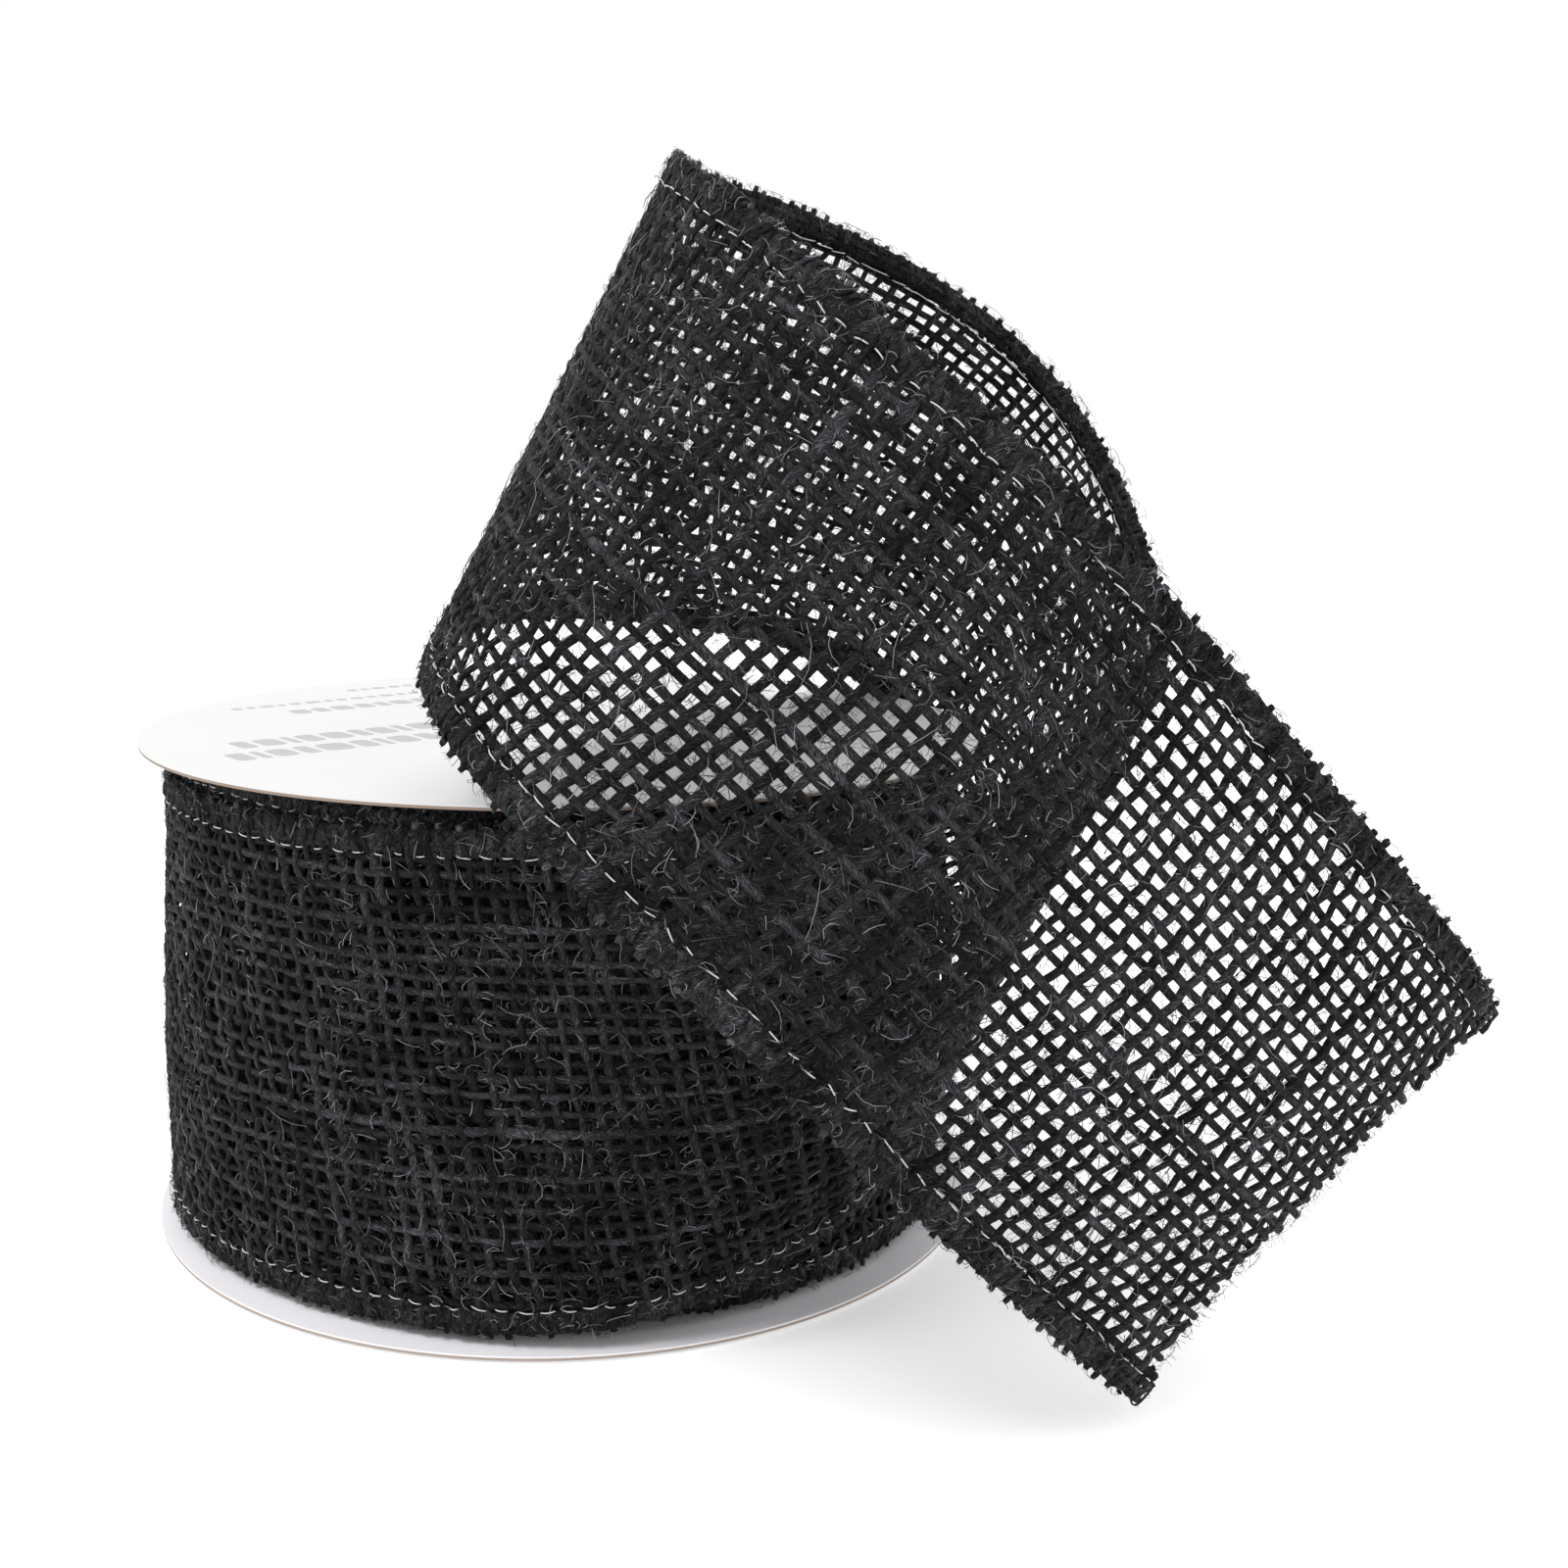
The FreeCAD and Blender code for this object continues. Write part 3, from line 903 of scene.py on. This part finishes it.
def coil_band():
    """The wound turns under the woven ones, as one long closed band with rounded hems."""
    outer_half = [(0.0, 0.15), (0.35, -0.35), (1.2, -0.5), (3.2, -0.5), (3.5, -0.38)]
    inner_half = [(0.35, 0.6), (1.2, 0.68), (3.2, 0.68), (3.5, 0.4)]

    def mirrored(half):
        return [(RIBBON_WIDTH - across, depth) for across, depth in half]

    profile = outer_half + mirrored(outer_half)[::-1] + mirrored(inner_half) + inner_half[::-1]
    turns = int((TAKE_OFF_RADIUS - CORE_RADIUS - CORE_GAP) / TURN_PITCH)
    along = np.arange(WEAVE_START, -turns * 2 * math.pi * TAKE_OFF_RADIUS, -BAND_STEP)
    count = len(profile)
    rings = []
    for across, depth in profile:
        ruffle = 0.16 * np.sin(along * 2.47 + across) + 0.1 * np.sin(along * 1.13)
        at_edge = min(across, RIBBON_WIDTH - across) < 0.6
        points, _, _ = cloth(along, across + (ruffle if at_edge else 0.0), depth)
        rings.append(points)
    vertices = np.stack(rings, 1).reshape(-1, 3)
    index = np.arange(len(along) * count).reshape(len(along), count)
    after = np.roll(index, -1, axis=1)
    quads = np.stack([index[:-1], after[:-1], after[1:], index[1:]], -1).reshape(-1, 4)
    ends = [tuple(index[0]), tuple(reversed(index[-1]))]
    fans = []
    for end in ends:
        for k in range(1, count - 1):
            fans.append((end[0], end[k], end[k + 1]))
    mesh = mesh_from_arrays("wound_turns", vertices * MM, quads, np.array(fans))
    obj = bpy.data.objects.new("wound_turns", mesh)
    bpy.context.scene.collection.objects.link(obj)
    return obj


def wound_shade_material():
    """Cloth seen in shadow between the turns, with a fine rough grain. Its colour is painted shade:
    darker than the woven yarns, for the gaps between the turns.
    """
    material, nodes, links = new_material("burlap_wound_painted_shade")
    shader = nodes["Principled BSDF"]
    shader.inputs["Roughness"].default_value = 0.85
    shader.inputs["Specular IOR Level"].default_value = 0.1
    coordinates = nodes.new("ShaderNodeTexCoord")
    noise = nodes.new("ShaderNodeTexNoise")
    noise.inputs["Scale"].default_value = 420.0
    noise.inputs["Detail"].default_value = 5.0
    links.new(coordinates.outputs["Object"], noise.inputs["Vector"])
    ramp = nodes.new("ShaderNodeValToRGB")
    # Both ramp colours are painted shade: darker than the woven yarn, to stand for the shadow between the
    # turns.
    ramp.color_ramp.elements[0].position = 0.35
    ramp.color_ramp.elements[0].color = (0.0015, 0.0015, 0.0016, 1)
    ramp.color_ramp.elements[1].position = 0.75
    ramp.color_ramp.elements[1].color = (0.020, 0.020, 0.021, 1)
    links.new(noise.outputs["Fac"], ramp.inputs["Fac"])
    links.new(ramp.outputs["Color"], shader.inputs["Base Color"])
    bump = nodes.new("ShaderNodeBump")
    bump.inputs["Strength"].default_value = 1.0
    bump.inputs["Distance"].default_value = 0.3 * MM
    links.new(noise.outputs["Fac"], bump.inputs["Height"])
    links.new(bump.outputs["Normal"], shader.inputs["Normal"])
    return material


wound = coil_band()
wound.data.materials.append(wound_shade_material())
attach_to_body(wound, "card_spool")
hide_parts("wound_ribbon")

for name in PIECES:
    weave = built[name][0]


# ---------------------------------------------------------------- printed bars on the upper flange
def ink_material():
    material, nodes, links = new_material("printed_ink")
    shader = nodes["Principled BSDF"]
    shader.inputs["Roughness"].default_value = 0.5
    coordinates = nodes.new("ShaderNodeTexCoord")
    noise = nodes.new("ShaderNodeTexNoise")
    noise.inputs["Scale"].default_value = 2500.0
    links.new(coordinates.outputs["Object"], noise.inputs["Vector"])
    ramp = nodes.new("ShaderNodeValToRGB")
    ramp.color_ramp.elements[0].color = (0.30, 0.30, 0.31, 1)
    ramp.color_ramp.elements[1].color = (0.42, 0.42, 0.43, 1)
    links.new(noise.outputs["Fac"], ramp.inputs["Fac"])
    links.new(ramp.outputs["Color"], shader.inputs["Base Color"])
    return material


# Rows of plain bars, turned by the print angle: start along the row, the row's place on the disc,
# the bars' height and their widths.
PRINT_ANGLE = math.radians(35.0)
PRINT_ROWS = [
    (-51.0, 0.8, 5.4, (2.6, 1.2, 3.2, 2.2, 4.4, 2.8, 1.2, 3.4, 2.6, 4.2, 2.0, 3.0)),
    (-46.5, 9.2, 5.4, (2.4, 3.4, 1.2, 2.8, 3.6, 2.0, 3.2, 1.4, 4.2, 2.6, 3.0, 2.4)),
    (-26.5, 32.6, 3.8, (2.8, 2.2, 3.2, 2.6, 1.8, 3.0, 2.4, 3.4, 2.2, 2.8)),
    (-32.5, 41.4, 1.8, (1.6, 1.2, 2.2, 1.0, 1.8, 2.4, 1.2, 1.6, 2.0, 1.4, 2.2, 1.2, 1.8, 1.6, 2.0, 1.4)),
    (-8.5, 49.6, 1.8, (1.6, 1.2, 2.2, 1.8, 1.4, 2.0)),
]
BAR_GAP = 0.9
INK_THICKNESS = 0.02


def print_bars():
    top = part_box("upper_flange")[1].z / MM
    cosine, sine = math.cos(PRINT_ANGLE), math.sin(PRINT_ANGLE)
    vertices, quads, triangles = [], [], []
    for start, level, height, widths in PRINT_ROWS:
        at = start
        for width in widths:
            corner = min(width, height) * 0.3
            outline = []
            for quarter, (x, y) in enumerate(((1, 1), (-1, 1), (-1, -1), (1, -1))):
                for step in range(4):
                    angle = (quarter + step / 3) * math.pi / 2
                    a = at + width / 2 + x * (width / 2 - corner) + corner * math.cos(angle)
                    b = level + height / 2 + y * (height / 2 - corner) + corner * math.sin(angle)
                    outline.append((a * cosine - b * sine, a * sine + b * cosine))
            base = len(vertices)
            count = len(outline)
            vertices += [(x, y, top) for x, y in outline]
            vertices += [(x, y, top + INK_THICKNESS) for x, y in outline]
            for k in range(count):
                after = (k + 1) % count
                quads.append((base + k, base + after, base + count + after, base + count + k))
            for k in range(1, count - 1):
                triangles.append((base + count, base + count + k, base + count + k + 1))
                triangles.append((base, base + k + 1, base + k))
            at += width + BAR_GAP
    vertices = np.array(vertices) * MM
    mesh = mesh_from_arrays("printed_bars", vertices, np.array(quads), np.array(triangles))
    for polygon in mesh.polygons:
        polygon.use_smooth = False
    mesh.materials.append(ink_material())
    obj = bpy.data.objects.new("printed_bars", mesh)
    bpy.context.scene.collection.objects.link(obj)
    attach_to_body(obj, "card_spool")


print_bars()


# ---------------------------------------------------------------- floor, light and camera
CAMERA_PLACE = (0.0, -0.2744, 0.1130)
CAMERA_PITCH, CAMERA_YAW, CAMERA_ROLL = 10.8, 6.65, 0.8
LENS, SENSOR = 43.1, 36.0
SPOOL_MIDDLE = (0, 0, 0.06)
FLOOR_DROP = 0.0004


def stage():
    bpy.ops.mesh.primitive_plane_add(size=6.0, location=(0, 0, -FLOOR_DROP))
    floor = bpy.context.object
    floor.name = "studio_floor"
    material, nodes, links = new_material("studio_floor_paint")
    paint = nodes["Principled BSDF"]
    paint.inputs["Base Color"].default_value = (0.94, 0.94, 0.94, 1)
    paint.inputs["Roughness"].default_value = 0.9
    paint.inputs["Emission Color"].default_value = (1, 1, 1, 1)
    paint.inputs["Emission Strength"].default_value = 0.22
    floor.data.materials.append(material)


def area_light(name, location, target, size, power):
    light = bpy.data.lights.new(name, "AREA")
    light.shape = "SQUARE"
    light.size = size
    light.energy = power
    obj = bpy.data.objects.new(name, light)
    obj.location = location
    obj.rotation_euler = (Vector(target) - Vector(location)).to_track_quat("-Z", "Y").to_euler()
    bpy.context.scene.collection.objects.link(obj)


def camera():
    """The camera stands between the heights of the spool and the curl, aimed slightly down and to
    the right."""
    pitch, yaw, roll = (math.radians(angle) for angle in (CAMERA_PITCH, CAMERA_YAW, CAMERA_ROLL))
    level = math.cos(pitch)
    forward = Vector((math.sin(yaw) * level, math.cos(yaw) * level, -math.sin(pitch)))
    right = Vector((math.cos(yaw), -math.sin(yaw), 0.0))
    up = right.cross(forward)
    rolled_right = right * math.cos(roll) + up * math.sin(roll)
    rolled_up = up * math.cos(roll) - right * math.sin(roll)
    data = bpy.data.cameras.new("studio_camera")
    data.sensor_width = SENSOR
    data.lens = LENS
    data.clip_start = 0.01
    obj = bpy.data.objects.new("studio_camera", data)
    axes = Matrix((rolled_right, rolled_up, -forward)).transposed()
    obj.matrix_world = Matrix.Translation(CAMERA_PLACE) @ axes.to_4x4()
    bpy.context.scene.collection.objects.link(obj)
    bpy.context.scene.camera = obj


stage()
area_light("key", (-0.40, -0.30, 0.95), SPOOL_MIDDLE, size=0.4, power=6.5)
area_light("fill", (0.65, -0.45, 0.45), SPOOL_MIDDLE, size=0.8, power=1.2)
area_light("back", (0.1, 0.7, 0.7), SPOOL_MIDDLE, size=0.8, power=1.2)
bpy.context.scene.view_settings.view_transform = "Standard"
world = bpy.data.worlds.new("studio_world")
world.use_nodes = True
world.node_tree.nodes["Background"].inputs["Color"].default_value = (1, 1, 1, 1)
world.node_tree.nodes["Background"].inputs["Strength"].default_value = 1.0
bpy.context.scene.world = world
camera()
